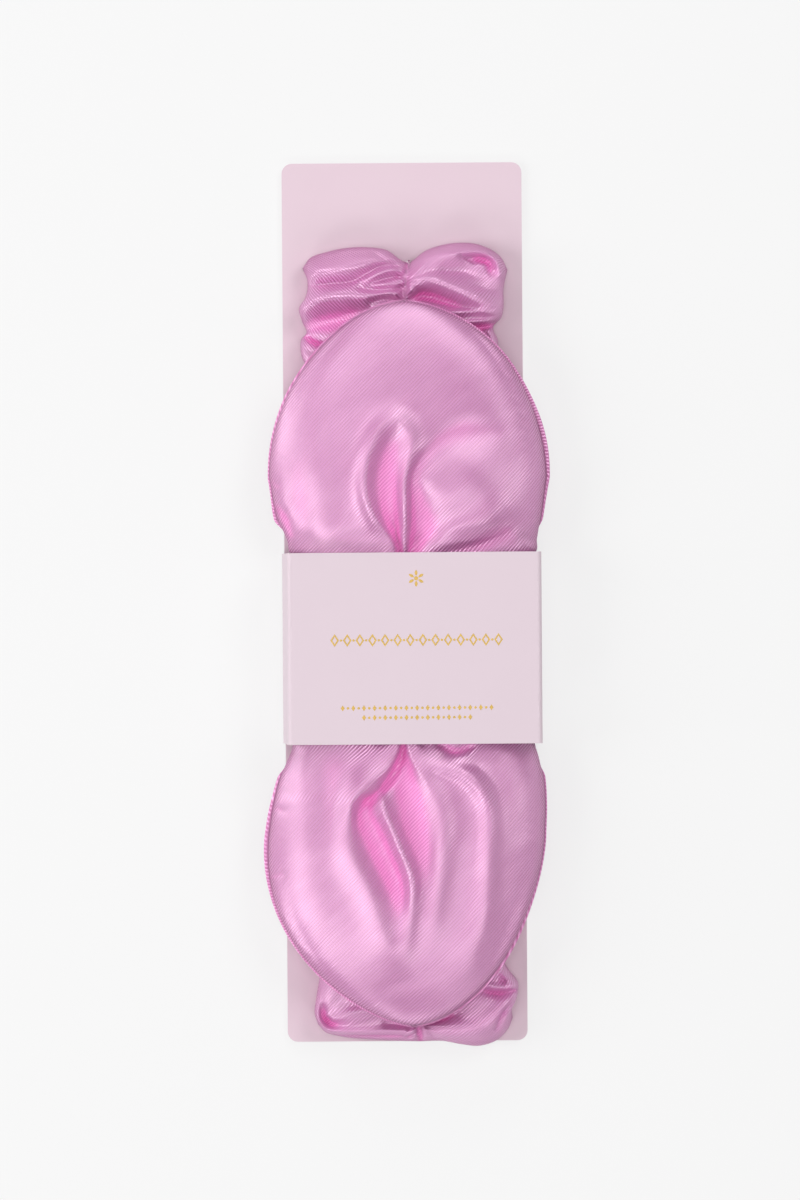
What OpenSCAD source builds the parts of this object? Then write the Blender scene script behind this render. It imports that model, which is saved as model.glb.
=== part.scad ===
// Knotted satin headband with a two-lobed bow, packed flat on its card.
// A board sleeve wraps the card and the bow's knot, and the flattened band
// is tied to the card at both turned ends.
//
// Frame: the pack lies on its back. +Z is up out of the bow, +Y runs to the
// header end of the card, and the origin is on the sleeve's back face under
// the knot. Millimetres.

/* [Card] */
// Width of the backing card
card_w = 71; // [68:0.5:72]
// Length of the backing card
card_l = 260; // [256:1:270]
// Thickness of the card board
card_t = 0.7; // [0.4:0.1:0.8]
// Distance from the knot's centre to the header edge of the card
header_reach = 143.5; // [142:0.5:146]
// Radius of the card's corners
card_corner = 3; // [1:0.5:6]

/* [Sleeve] */
// Length of the sleeve along the card
sleeve_l = 56; // [50:1:57]
// Height of the sleeve over its back face
sleeve_h = 24; // [24:0.5:26]
// Thickness of the sleeve board
board_t = 0.4; // [0.3:0.05:0.4]
// Free travel of the sleeve each way along the card
sleeve_travel = 4; // [2:0.5:4]

/* [Bow] */
// Half-width of a lobe at its belly
belly_hw = 40.6; // [38:0.2:42]
// Reach of the upper lobe's tip from the knot's centre
upper_tip = 101.4; // [98:0.2:104]
// Reach of the lower lobe's tip from the knot's centre
lower_tip = 110.4; // [106:0.2:112]
// Height of a lobe's crown over its seam
belly_crown = 15; // [10:0.5:17]
// Thickness of a sewn satin panel with its lining
panel_t = 0.8; // [0.4:0.1:1]

/* [Band] */
// Half-width of the satin band where it lies flat
band_hw = 28; // [24:0.5:29]
// Width of the woven elastic in the casing
elastic_w = 40; // [30:1:42]
// Diameter of the nylon ties
tie_d = 0.8; // [0.6:0.1:0.8]

/* [Hidden] */

satin_pink = [0.86, 0.55, 0.76];
card_pink = [0.92, 0.84, 0.88];
foil_gold = [0.72, 0.58, 0.25];

// Levels over the sleeve's back face
glue_t = 0.1;
card_z = 1.1;
casing_z = [2.0, 5.6];
run_z = [5.9, 9.0];
turn_z = 7.25;
turn_r = 5.2;
neck_top = 8.6;
seam_z = 12;
root_top = 22.6;

// The sleeve's cross-section leans: its left side spreads towards the back.
sleeve_back_x = [-36.3, 40.2];
sleeve_front_x = [-34.2, 40.0];
fold_r = 1.2;
glue_flap_w = 14;

// Where the band turns back, as reach from the knot's centre
top_turn_y = 84.4;
bottom_turn_y = 91.3;
tie_x = 2;
top_tie_y = [94.5, 114];
bottom_tie_y = [98, 114];
tie_hole_r = 0.75;

// Each lobe starts clear of the sleeve's travel.
root_y = sleeve_l / 2 + sleeve_travel + 0.5;
knot_l = 36;
knot_hw = 17.6;
wrap_t = 1.2;
fit = 0.2;

foil_t = 0.05;
foil_x = 3.4;

function mix(a, b, t) = a + (b - a) * t;
function ease(t) = let (c = min(1, max(0, t))) c * c * (3 - 2 * c);
function signed_pow(v, p) = sign(v) * pow(abs(v), p);

// ---------- shared shapes ----------

// Joins closed rings of points, all of the same even count, into one solid.
module loft(rings) {
    n = len(rings[0]);
    last = len(rings) - 1;
    points = [for (ring = rings) each ring];
    sides = [
        for (i = [0:last - 1], j = [0:n - 1])
            let (a = i * n + j, b = i * n + (j + 1) % n)
            each [[a, a + n, b + n], [a, b + n, b]]
    ];
    // Each cap is zipped across, from the ring's first point to its far side.
    cap = [
        for (k = [0:n / 2 - 2])
            each [[k, k + 1, n - 1 - k], [k + 1, n - 2 - k, n - 1 - k]]
    ];
    far_cap = [for (f = cap) [last * n + f[2], last * n + f[1], last * n + f[0]]];
    polyhedron(points, concat(cap, far_cap, sides), convexity = 6);
}

// A soft bar along Y. Each station is [y, centre x, half-width, low z, high z].
bar_points = 28;
squareness = 3.4;
function bar_ring(s) = [
    for (j = [0:bar_points - 1])
        let (a = 180 - 360 * j / bar_points)
        [
            s[1] + s[2] * signed_pow(cos(a), 2 / squareness),
            s[0],
            (s[3] + s[4]) / 2 + (s[4] - s[3]) / 2 * signed_pow(sin(a), 2 / squareness)
        ]
];
module soft_bar(stations) {
    loft([for (s = stations) bar_ring(s)]);
}

// Corner points of a polygon replaced by arcs of radius r.
arc_steps = 6;
function unit(v) = v / norm(v);
function rounded_corner(before, at, after, r) =
    let (
        u = unit(before - at),
        v = unit(after - at),
        half = acos(u * v) / 2,
        centre = at + unit(u + v) * r / sin(half),
        from = at + u * r / tan(half) - centre,
        to = at + v * r / tan(half) - centre,
        turn = 180 - 2 * half,
        side = sign(from[0] * to[1] - from[1] * to[0])
    )
    [
        for (k = [0:arc_steps])
            let (a = side * turn * k / arc_steps)
            centre + [from[0] * cos(a) - from[1] * sin(a), from[0] * sin(a) + from[1] * cos(a)]
    ];
function rounded_outline(corners, r) = [
    for (k = [0:len(corners) - 1])
        let (n = len(corners))
        each rounded_corner(corners[(k + n - 1) % n], corners[k], corners[(k + 1) % n], r)
];

// ---------- card and ties ----------

module backing_card() {
    low = header_reach - card_l;
    outline = [
        [-card_w / 2, low], [card_w / 2, low],
        [card_w / 2, header_reach], [-card_w / 2, header_reach]
    ];
    color(card_pink)
    difference() {
        translate([0, 0, card_z])
            linear_extrude(card_t)
                polygon(rounded_outline(outline, card_corner));
        for (y = [each top_tie_y, -bottom_tie_y[0], -bottom_tie_y[1]])
            translate([tie_x, y, card_z - 1])
                cylinder(r = tie_hole_r, h = card_t + 2, $fn = 24);
    }
}

// A nylon loop in a Y-Z plane, through two holes in the card.
module tie_loop(y_near, y_far, z_low, z_high) {
    bend_r = 1.2;
    spans = [y_far - y_near - 2 * bend_r, z_high - z_low - 2 * bend_r];
    translate([tie_x, (y_near + y_far) / 2, (z_low + z_high) / 2])
    rotate([90, 0, 90])
    for (side = [-1, 1]) {
        translate([0, side * (spans[1] / 2 + bend_r), 0])
            rotate([0, 90, 0])
                cylinder(d = tie_d, h = spans[0], center = true, $fn = 24);
        translate([side * (spans[0] / 2 + bend_r), 0, 0])
            rotate([90, 0, 0])
                cylinder(d = tie_d, h = spans[1], center = true, $fn = 24);
        for (corner = [0, 1])
            translate([side * spans[0] / 2, (corner == 0 ? -1 : 1) * spans[1] / 2, 0])
                rotate([0, 0, side > 0 ? (corner == 0 ? -90 : 0) : (corner == 0 ? 180 : 90)])
                    rotate_extrude(angle = 90, $fn = 48)
                        translate([bend_r, 0])
                            circle(d = tie_d, $fn = 24);
    }
}
tie_low = card_z - 0.1 - tie_d / 2;
tie_high = neck_top + 0.2 + tie_d / 2;
module top_tie() {
    color("white") tie_loop(top_tie_y[0], top_tie_y[1], tie_low, tie_high);
}
module bottom_tie() {
    color("white") tie_loop(-bottom_tie_y[1], -bottom_tie_y[0], tie_low, tie_high);
}

// ---------- band ----------

// The satin run behind the bow, gathered narrow where the knot holds it.
module band_front_run() {
    inside = run_z[0] + wrap_t + 0.3;
    gathered_hw = knot_hw - 5.8;
    color(satin_pink)
    soft_bar([
        [-bottom_turn_y + fit, 0, band_hw, run_z[0], run_z[1]],
        [-45, 0, band_hw, run_z[0], run_z[1]],
        [-26, 0, gathered_hw + 6, mix(run_z[0], inside, 0.7), run_z[1]],
        [-knot_l / 2, 0, gathered_hw, inside, run_z[1]],
        [knot_l / 2, 0, gathered_hw, inside, run_z[1]],
        [26, 0, gathered_hw + 6, mix(run_z[0], inside, 0.7), run_z[1]],
        [45, 0, band_hw, run_z[0], run_z[1]],
        [top_turn_y - fit, 0, band_hw, run_z[0], run_z[1]]
    ]);
}

// One puffed side of a turned end: centres of the rounds that bound it.
module puff(centres) {
    hull()
        for (c = centres)
            translate([c[0], c[1], turn_z])
                sphere(r = turn_r, $fn = 28);
}
module neck(y_low, y_high) {
    translate([-2, y_low, casing_z[0]])
        cube([8, y_high - y_low, neck_top - casing_z[0]]);
}
module band_top_turn() {
    color(satin_pink)
    union() {
        puff([[-24, 90], [-23.8, 106], [-9, 113], [-4, 110], [-4, 90]]);
        puff([[26, 90], [26, 108], [20, 113.6], [8, 110], [8, 90]]);
        neck(top_tie_y[0] + 1.5, top_tie_y[1] - 3);
    }
}
module band_bottom_turn() {
    color(satin_pink)
    union() {
        puff([[-22.8, -97], [-22.8, -107], [-4, -109.5], [-4, -97]]);
        puff([[26.4, -97], [26.4, -101], [21, -112.2], [8, -109.5], [8, -97]]);
        neck(-bottom_tie_y[1] + 3, -bottom_tie_y[0] - 1.5);
    }
}

// The gathered casing behind the run, hollow for its elastic.
casing_hw = 25;
casing_y = [-bottom_turn_y + 1.4, top_turn_y - 1.4];
module elastic_casing() {
    middle = (casing_z[0] + casing_z[1]) / 2;
    color(satin_pink)
    difference() {
        soft_bar([for (y = casing_y) [y, 0, casing_hw, casing_z[0], casing_z[1]]]);
        translate([-elastic_w / 2 - fit, casing_y[0] + 1.2, middle - 0.8])
            cube([elastic_w + 2 * fit, casing_y[1] - casing_y[0] - 2.4, 1.6]);
    }
}
module band_elastic() {
    middle = (casing_z[0] + casing_z[1]) / 2;
    color("white")
    translate([-elastic_w / 2, casing_y[0] + 1.4, middle - 0.6])
        cube([elastic_w, casing_y[1] - casing_y[0] - 2.8, 1.2]);
}

// Overlocked seams that join the casing to the band's turned ends.
module casing_seams() {
    seam_w = 44;
    color("plum")
    for (y = [casing_y[0] - 1.2, casing_y[1] + 0.2])
        translate([-seam_w / 2, y, casing_z[0] + 0.4])
            cube([seam_w, 1, casing_z[1] - casing_z[0] - 0.8]);
}

// ---------- knot and waist ----------

module knot_wrap() {
    half = knot_l / 2;
    color(satin_pink)
    difference() {
        soft_bar([
            [-half, 0, knot_hw - 0.6, run_z[0] - 0.1, root_top - 0.5],
            [-half + 3, 0, knot_hw, run_z[0] - 0.1, root_top],
            [half - 3, 0, knot_hw, run_z[0] - 0.1, root_top],
            [half, 0, knot_hw - 0.6, run_z[0] - 0.1, root_top - 0.5]
        ]);
        soft_bar([
            for (y = [-half - 1, half + 1])
                [y, 0, knot_hw - wrap_t, run_z[0] - 0.1 + wrap_t, root_top - wrap_t]
        ]);
    }
}

// The bow's own panels, gathered to the knot's width under the sleeve.
module bow_waist() {
    low = run_z[1] + 0.3;
    flare = root_y - 0.5;
    color(satin_pink)
    soft_bar([
        [-flare, 2.4, 34.6, low, root_top],
        [-27, 2.2, 33, low, root_top],
        [-21, 1, 21, low, root_top - 1],
        [-knot_l / 2, 0, 15.8, low, root_top - wrap_t - 0.3],
        [knot_l / 2, 0, 15.8, low, root_top - wrap_t - 0.3],
        [21, 1, 21, low, root_top - 1],
        [27, 2.2, 33, low, root_top],
        [flare, 2.4, 34.6, low, root_top]
    ]);
}

// ---------- lobes ----------

// A lobe is [tip reach, belly reach, tip roundness, x at root, x at belly, x at tip].
upper_lobe = [upper_tip, 50, 0.57, 1.6, 1.4, -0.4];
lower_lobe = [lower_tip, 52, 0.64, 1.6, -0.7, 1.8];
root_hw = 36.6;
stations = 20;
across = 16;

// Stations crowd towards the tip, and stop just short of it.
function lobe_y(lobe, i) = mix(root_y, lobe[0] - 0.4, sin(90 * i / stations));
function past_belly(lobe, y) = max(0, (y - lobe[1]) / (lobe[0] - lobe[1]));
function before_belly(lobe, y) = ease((y - root_y) / (lobe[1] - root_y));
function lobe_hw(lobe, y) =
    y < lobe[1]
    ? mix(root_hw, belly_hw, before_belly(lobe, y))
    : belly_hw * pow(1 - pow(past_belly(lobe, y), 2), lobe[2]);
function lobe_x(lobe, y) =
    y < lobe[1]
    ? mix(lobe[3], lobe[4], before_belly(lobe, y))
    : mix(lobe[4], lobe[5], past_belly(lobe, y));
function lobe_seam(lobe, y) = seam_z + 4 * ease((y - 60) / 30);
function lobe_crown(lobe, y) =
    y < lobe[1]
    ? mix(root_top - seam_z, belly_crown, before_belly(lobe, y))
    : 1.4 + (belly_crown - 1.4) * pow(1 - pow(past_belly(lobe, y), 2), 0.8);
function lobe_belly(lobe, y) =
    2.6 - 1.6 * ease((y - 60) / 30);

// One arc across a lobe, as high as rise at its middle, and inset from the outline.
function lobe_arc(lobe, y, rise, inset) = [
    for (k = [0:across])
        let (s = -cos(180 * k / across))
        [
            lobe_x(lobe, y) + (lobe_hw(lobe, y) - inset) * s,
            y,
            lobe_seam(lobe, y) + rise * pow(1 - pow(abs(s), 2.4), 0.6)
        ]
];
function reversed(list) = [for (k = [len(list) - 1:-1:0]) list[k]];
function inner(list) = [for (k = [1:len(list) - 2]) list[k]];
// A closed ring between two arcs that share their ends only if they coincide there.
function between_arcs(low, high) = concat(high, reversed(low));

module lobe_front(lobe) {
    loft([
        for (i = [0:stations])
            let (y = lobe_y(lobe, i), rise = lobe_crown(lobe, y))
            between_arcs(
                lobe_arc(lobe, y, rise - min(panel_t, rise * 0.6), panel_t),
                lobe_arc(lobe, y, rise, 0)
            )
    ]);
}
module lobe_back(lobe) {
    loft([
        for (i = [0:stations])
            let (y = lobe_y(lobe, i), drop = lobe_belly(lobe, y))
            between_arcs(
                lobe_arc(lobe, y, -drop, 0),
                lobe_arc(lobe, y, -drop + min(panel_t, drop * 0.6), panel_t)
            )
    ]);
}
module lobe_wadding(lobe) {
    gap = 0.3;
    last = stations - 3;
    loft([
        for (i = [0:last])
            let (
                y = lobe_y(lobe, i) + (i == 0 ? 1 : 0),
                rise = lobe_crown(lobe, y) - panel_t - gap,
                drop = lobe_belly(lobe, y) - min(panel_t, lobe_belly(lobe, y) * 0.6) - 0.1
            )
            concat(
                lobe_arc(lobe, y, rise, panel_t + gap),
                inner(reversed(lobe_arc(lobe, y, -drop, panel_t + gap)))
            )
    ]);
}

module upper_lobe_front() { color(satin_pink) lobe_front(upper_lobe); }
module upper_lobe_back() { color(satin_pink) lobe_back(upper_lobe); }
module upper_lobe_wadding() { color("white") lobe_wadding(upper_lobe); }
module lower_lobe_front() { color(satin_pink) mirror([0, 1, 0]) lobe_front(lower_lobe); }
module lower_lobe_back() { color(satin_pink) mirror([0, 1, 0]) lobe_back(lower_lobe); }
module lower_lobe_wadding() { color("white") mirror([0, 1, 0]) lobe_wadding(lower_lobe); }

// ---------- sleeve ----------

// The sleeve's outline in the X-Z plane, moved inwards by inset.
function sleeve_outline(inset) = [
    [sleeve_back_x[0] + inset, inset],
    [sleeve_back_x[1] - inset, inset],
    [sleeve_front_x[1] - inset, sleeve_h - inset],
    [sleeve_front_x[0] + inset, sleeve_h - inset]
];
flap_end_x = sleeve_back_x[1] - board_t;

// One strip of board: its glue flap lies inside, over the end of its back panel.
module sleeve() {
    color(card_pink)
    rotate([90, 0, 0])
    linear_extrude(sleeve_l, center = true) {
        difference() {
            polygon(rounded_outline(sleeve_outline(0), fold_r));
            polygon(rounded_outline(sleeve_outline(board_t), fold_r - board_t));
            translate([flap_end_x - glue_flap_w - 1, board_t])
                square([glue_flap_w + 3, glue_t]);
        }
        translate([flap_end_x - glue_flap_w, board_t + glue_t])
            square([glue_flap_w + board_t / 2, board_t]);
    }
}
module sleeve_glue() {
    glue_w = glue_flap_w - 3;
    glue_l = sleeve_l - 6;
    color("ivory")
    translate([flap_end_x - glue_w - 1.5, -glue_l / 2, board_t])
        cube([glue_w, glue_l, glue_t]);
}

// ---------- foil print: plain ornaments ----------

module lozenge(w, h) {
    polygon([[-w / 2, 0], [0, -h / 2], [w / 2, 0], [0, h / 2]]);
}
module lozenge_line(w, h, stroke) {
    difference() {
        lozenge(w, h);
        lozenge(w - 2.6 * stroke, h - 3.4 * stroke);
    }
}
module leaf(l, w) {
    r = (l * l / 4 + w * w / 4) / w;
    intersection() {
        translate([0, r - w / 2]) circle(r = r, $fn = 96);
        translate([0, w / 2 - r]) circle(r = r, $fn = 96);
    }
}
module foil_at(y) {
    color(foil_gold)
    translate([foil_x, y, sleeve_h])
        linear_extrude(foil_t)
            children();
}
module foil_emblem() {
    foil_at(20.4) {
        circle(r = 0.6, $fn = 32);
        for (turn = [0:60:300])
            rotate(turn + 30)
                translate([1.6, 0])
                    leaf(1.7, 0.8);
    }
}
module foil_title() {
    title_w = 51.5;
    marks = 14;
    pitch = title_w / marks;
    foil_at(2.4)
    for (k = [0:marks - 1])
        translate([(k - (marks - 1) / 2) * pitch, 0]) {
            lozenge_line(2.5, 3.7, 0.42);
            if (k < marks - 1)
                translate([pitch / 2, 0]) circle(r = 0.34, $fn = 20);
        }
}
module footer_row(w, pitch) {
    half = floor(w / pitch / 2);
    for (k = [-half:half])
        translate([k * pitch, 0])
            if (k % 2 == 0) lozenge(1.15, 1.7);
            else circle(r = 0.36, $fn = 20);
}
module foil_footer() {
    foil_at(-17.4) footer_row(45, 1.55);
    foil_at(-20.2) footer_row(34, 1.55);
}

backing_card();
top_tie();
bottom_tie();
band_front_run();
band_top_turn();
band_bottom_turn();
elastic_casing();
band_elastic();
casing_seams();
knot_wrap();
bow_waist();
sleeve();
sleeve_glue();
foil_emblem();
foil_title();
foil_footer();
upper_lobe_front();
upper_lobe_back();
upper_lobe_wadding();
lower_lobe_front();
lower_lobe_back();
lower_lobe_wadding();
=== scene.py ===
"""Looks for the knotted satin headband on its card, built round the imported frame.

Lengths in the shape lists are millimetres in the frame's axes: +Z is out of the bow, +Y runs to the
card's header. Meshes are made in metres.
"""

import math

import bpy
import numpy as np
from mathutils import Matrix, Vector


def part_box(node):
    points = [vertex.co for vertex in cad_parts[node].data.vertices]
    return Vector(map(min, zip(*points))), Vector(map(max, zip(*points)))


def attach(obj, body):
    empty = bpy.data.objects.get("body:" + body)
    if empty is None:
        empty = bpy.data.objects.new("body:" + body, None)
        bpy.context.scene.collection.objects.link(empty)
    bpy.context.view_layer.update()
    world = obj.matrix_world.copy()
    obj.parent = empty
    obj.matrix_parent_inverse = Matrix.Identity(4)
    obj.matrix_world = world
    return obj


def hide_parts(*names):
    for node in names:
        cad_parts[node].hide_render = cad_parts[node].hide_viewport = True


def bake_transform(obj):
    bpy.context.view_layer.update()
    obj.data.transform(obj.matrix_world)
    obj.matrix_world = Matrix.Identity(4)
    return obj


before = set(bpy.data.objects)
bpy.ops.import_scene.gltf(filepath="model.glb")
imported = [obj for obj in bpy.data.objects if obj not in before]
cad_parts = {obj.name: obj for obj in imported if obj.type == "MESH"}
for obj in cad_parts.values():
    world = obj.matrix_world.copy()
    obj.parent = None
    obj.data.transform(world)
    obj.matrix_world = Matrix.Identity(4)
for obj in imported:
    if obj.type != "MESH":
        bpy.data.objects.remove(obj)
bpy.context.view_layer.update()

MM = 0.001
SEED = 11
FOLD_SAMPLES = 120
OUTLINE_SAMPLES = 240
WAVES = 4


def node_box(name):
    """A CAD node's lowest and highest corners in millimetres."""
    low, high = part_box(name)
    return np.array(low) / MM, np.array(high) / MM


# ---------------------------------------------------------------- numbers along curves


def ease(t):
    t = np.clip(t, 0, 1)
    return t * t * (3 - 2 * t)


def through(keys, at):
    """A smooth curve through (position, value) keys, read at each position in at."""
    xs, ys = np.array(keys, float).T
    slopes = np.gradient(ys, xs)
    at = np.clip(at, xs[0], xs[-1])
    i = np.clip(np.searchsorted(xs, at) - 1, 0, len(xs) - 2)
    span = xs[i + 1] - xs[i]
    t = (at - xs[i]) / span
    return (
        (2 * t**3 - 3 * t**2 + 1) * ys[i]
        + (t**3 - 2 * t**2 + t) * span * slopes[i]
        + (3 * t**2 - 2 * t**3) * ys[i + 1]
        + (t**3 - t**2) * span * slopes[i + 1]
    )


def along(points, count):
    """count rows spaced evenly along a smooth curve through points; extra columns are carried."""
    points = np.array(points, float)
    steps = np.linalg.norm(np.diff(points[:, :2], axis=0), axis=1)
    reach = np.concatenate([[0], np.cumsum(steps)])
    at = np.linspace(0, reach[-1], count)
    columns = [through(np.column_stack([reach, c]), at) for c in points.T]
    return np.column_stack(columns)


# ---------------------------------------------------------------- folds

# A fold's settings: a round crest or floor, or a sharp one.
SOFT = {}
SHARP = {"power": 1.5}


def fold(x, y, points, lean=1.0, power=2.0):
    """The height a fold adds at x, y. Its points are (x, y, height, half-width).

    A ridge has positive heights and a valley negative ones. lean widens the side to the right of its
    direction, and a power under 2 gives it a sharper line.
    """
    line = along(points, FOLD_SAMPLES)
    tangent = np.gradient(line[:, :2], axis=0)
    tangent /= np.linalg.norm(tangent, axis=1)[:, None]
    flat_x, flat_y = x.ravel(), y.ravel()
    dx = flat_x[:, None] - line[None, :, 0]
    dy = flat_y[:, None] - line[None, :, 1]
    nearest = np.argmin(dx * dx + dy * dy, axis=1)
    row = np.arange(len(flat_x))
    dx, dy = dx[row, nearest], dy[row, nearest]
    t = tangent[nearest]
    ahead = dx * t[:, 0] + dy * t[:, 1]
    side = dy * t[:, 0] - dx * t[:, 1]
    past_end = ((nearest == 0) & (ahead < 0)) | ((nearest == len(line) - 1) & (ahead > 0))
    distance = np.hypot(side, np.where(past_end, ahead, 0)) + 1e-9
    width = line[nearest, 3] * (1 + (lean - 1) * (0.5 - 0.5 * side / distance))
    rise = line[nearest, 2] * np.exp(-((distance / width) ** power))
    return rise.reshape(x.shape)


def bump(x, y, centre, radii, height, turn=0.0):
    """A soft round mound, or a hollow if height is negative."""
    c, s = math.cos(math.radians(turn)), math.sin(math.radians(turn))
    dx, dy = x - centre[0], y - centre[1]
    across, up = dx * c + dy * s, dy * c - dx * s
    return height * np.exp(-((across / radii[0]) ** 2 + (up / radii[1]) ** 2))


def ripple(x, y, angle, pitch, seed):
    """Uneven parallel wrinkles, from -1 to 1."""
    rng = np.random.default_rng(SEED + seed)
    c, s = math.cos(math.radians(angle)), math.sin(math.radians(angle))
    p = x * c + y * s
    q = y * c - x * s
    value = np.zeros_like(x)
    for octave in range(WAVES):
        wave = 2 * math.pi / (pitch * rng.uniform(0.7, 1.5))
        wander = rng.uniform(0.3, 0.9) * np.sin(q / (pitch * rng.uniform(2, 5)) + octave)
        value += np.sin(p * wave + wander * 2 + rng.uniform(0, 6.3))
    return value / WAVES


# ---------------------------------------------------------------- meshes


def mesh_object(name, vertices, faces, uv=None, materials=(), tones=None):
    """A smooth-shaded object. vertices are millimetres, and uv is one pair for each vertex.

    tones holds one value from 0 to 1 for each vertex, under each attribute's name.
    """
    mesh = bpy.data.meshes.new(name)
    mesh.from_pydata((np.asarray(vertices) * MM).tolist(), [], [list(map(int, f)) for f in faces])
    mesh.validate()
    mesh.polygons.foreach_set("use_smooth", [True] * len(mesh.polygons))
    if uv is not None:
        layer = mesh.uv_layers.new(name="cloth")
        corner = np.empty(len(mesh.loops), int)
        mesh.loops.foreach_get("vertex_index", corner)
        layer.data.foreach_set("uv", (np.asarray(uv)[corner] * MM).ravel())
    for key, values in (tones or {}).items():
        mesh.attributes.new(key, "FLOAT", "POINT").data.foreach_set("value", np.asarray(values))
    for material in materials:
        mesh.materials.append(material)
    obj = bpy.data.objects.new(name, mesh)
    bpy.context.collection.objects.link(obj)
    return obj


def grid_faces(rows, columns, start=0, flip=False):
    i, j = np.meshgrid(np.arange(rows - 1), np.arange(columns - 1), indexing="ij")
    a = (start + i * columns + j).ravel()
    quads = np.column_stack([a, a + 1, a + columns + 1, a + columns])
    return quads[:, ::-1] if flip else quads


# The back panel carries this share of the painted pink glow of bounced light all over, with its extra
# roughness.
BACK_PAINTED_GLOW = 0.6


def pillow(name, front, back, uv_front, uv_back, painted_glow, seam_shades, flip):
    """Two sheets of rows x columns points, sewn along both sides and the last row, capped at the first.

    The fold-depth tones are the front's depth in its folds, where a pink glow of bounced light is painted,
    and the seam tones say how close each sheet's points are to the seam, where shade is painted.
    """
    rows, columns = front.shape[:2]
    index_back = np.arange(rows * columns).reshape(rows, columns)
    shared = np.zeros((rows, columns), bool)
    shared[:, 0] = shared[:, -1] = shared[-1, :] = True
    own = ~shared
    index_back[own] = rows * columns + np.arange(own.sum())
    vertices = np.concatenate([front.reshape(-1, 3), back[own]])
    uv = np.concatenate([uv_front.reshape(-1, 2), uv_back[own]])
    quads = grid_faces(rows, columns, flip=flip)
    back_quads = index_back.ravel()[grid_faces(rows, columns, flip=not flip)]
    low, high = index_back[0], np.arange(columns)
    cap = np.column_stack([low[:-1], low[1:], high[1:], high[:-1]])
    cap = cap[:, ::-1] if flip else cap
    ends = [[f for i, f in enumerate(face) if f != face[i - 1]] for face in cap]
    faces = [*quads, *back_quads, *ends]
    tones = {
        "painted_glow": np.concatenate([painted_glow.ravel(), np.full(own.sum(), BACK_PAINTED_GLOW)]),
        "seam_shade": np.concatenate([seam_shades[0].ravel(), seam_shades[1][own]]),
    }
    return mesh_object(name, vertices, faces, uv, [SATIN], tones)


WEAVE_COLUMNS = 260
WEAVE_ROWS = 300
WEAVE_MARGIN = 0.5
WEAVE_STEEPEST = 5
WEAVE_OVER_FOLDS = 0.15


def cloth_uv(x, y, dome, folds, level):
    """Distances from (0, level) over the height dome(x, y), and partly over the folds."""
    xs = np.linspace(x.min() - WEAVE_MARGIN, x.max() + WEAVE_MARGIN, WEAVE_COLUMNS)
    ys = np.linspace(y.min() - WEAVE_MARGIN, y.max() + WEAVE_MARGIN, WEAVE_ROWS)
    gx, gy = np.meshgrid(xs, ys, indexing="ij")
    over_x, over_y = gx, gy
    for height, share in ((dome, 1.0), (folds, WEAVE_OVER_FOLDS)):
        slopes = np.gradient(height(gx, gy), xs, ys)
        slope_x, slope_y = (np.clip(slope, -WEAVE_STEEPEST, WEAVE_STEEPEST) for slope in slopes)
        more_x = np.sqrt(1 + slope_x**2) - 1
        more_y = np.sqrt(1 + slope_y**2) - 1
        more_x = np.cumsum(more_x, axis=0) * (xs[1] - xs[0])
        more_y = np.cumsum(more_y, axis=1) * (ys[1] - ys[0])
        over_x = over_x + share * (more_x - more_x[np.argmin(abs(xs))][None, :])
        over_y = over_y + share * (more_y - more_y[:, np.argmin(abs(ys - level))][:, None])
    fx = (x - xs[0]) / (xs[1] - xs[0])
    fy = (y - ys[0]) / (ys[1] - ys[0])
    i = np.clip(fx.astype(int), 0, len(xs) - 2)
    j = np.clip(fy.astype(int), 0, len(ys) - 2)
    fx, fy = fx - i, fy - j

    def read(grid):
        near = grid[i, j] * (1 - fx) + grid[i + 1, j] * fx
        far = grid[i, j + 1] * (1 - fx) + grid[i + 1, j + 1] * fx
        return near * (1 - fy) + far * fy

    return np.stack([read(over_x), read(over_y)], axis=-1)


# ---------------------------------------------------------------- materials


class Nodes:
    """A short way to make and link the nodes of one material."""

    def __init__(self, name):
        self.material = bpy.data.materials.new(name)
        self.material.use_nodes = True
        self.tree = self.material.node_tree
        self.shader = self.tree.nodes["Principled BSDF"]

    def add(self, kind, inputs=None, **settings):
        node = self.tree.nodes.new(kind)
        for key, value in settings.items():
            setattr(node, key, value)
        for key, value in (inputs or {}).items():
            if isinstance(value, bpy.types.NodeSocket):
                self.tree.links.new(value, node.inputs[key])
            else:
                node.inputs[key].default_value = value
        return node

    def math(self, operation, a, b=0.0):
        return self.add("ShaderNodeMath", {0: a, 1: b}, operation=operation).outputs[0]

    def noise(self, scale, detail=2.0, roughness=0.5, vector=None):
        inputs = {"Scale": scale, "Detail": detail, "Roughness": roughness}
        if vector is not None:
            inputs["Vector"] = vector
        return self.add("ShaderNodeTexNoise", inputs).outputs[0]

    def mix(self, factor, a, b):
        node = self.add("ShaderNodeMix", data_type="RGBA")
        for socket, value in ((node.inputs[0], factor), (node.inputs[6], a), (node.inputs[7], b)):
            if isinstance(value, bpy.types.NodeSocket):
                self.tree.links.new(value, socket)
            else:
                socket.default_value = value if isinstance(value, float) else (*value, 1)
        return node.outputs[2]

    def set(self, **values):
        """Sets the shader's sockets; an underscore stands for a space."""
        for key, value in values.items():
            socket = self.shader.inputs[key.replace("_", " ")]
            if isinstance(value, bpy.types.NodeSocket):
                self.tree.links.new(value, socket)
            elif isinstance(value, tuple) and len(value) == 3 and socket.type == "RGBA":
                socket.default_value = (*value, 1)
            else:
                socket.default_value = value
        return self.material


TWILL_PITCH = 0.80
TWILL_SHARE = 0.54
THREAD_SHARE = 0.08
THREAD_FINER = 1.17
WEAVE_RELIEF = 0.1
SATIN_DARK = (0.38, 0.045, 0.22)
SATIN_LIGHT = (0.95, 0.45, 0.82)
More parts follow.
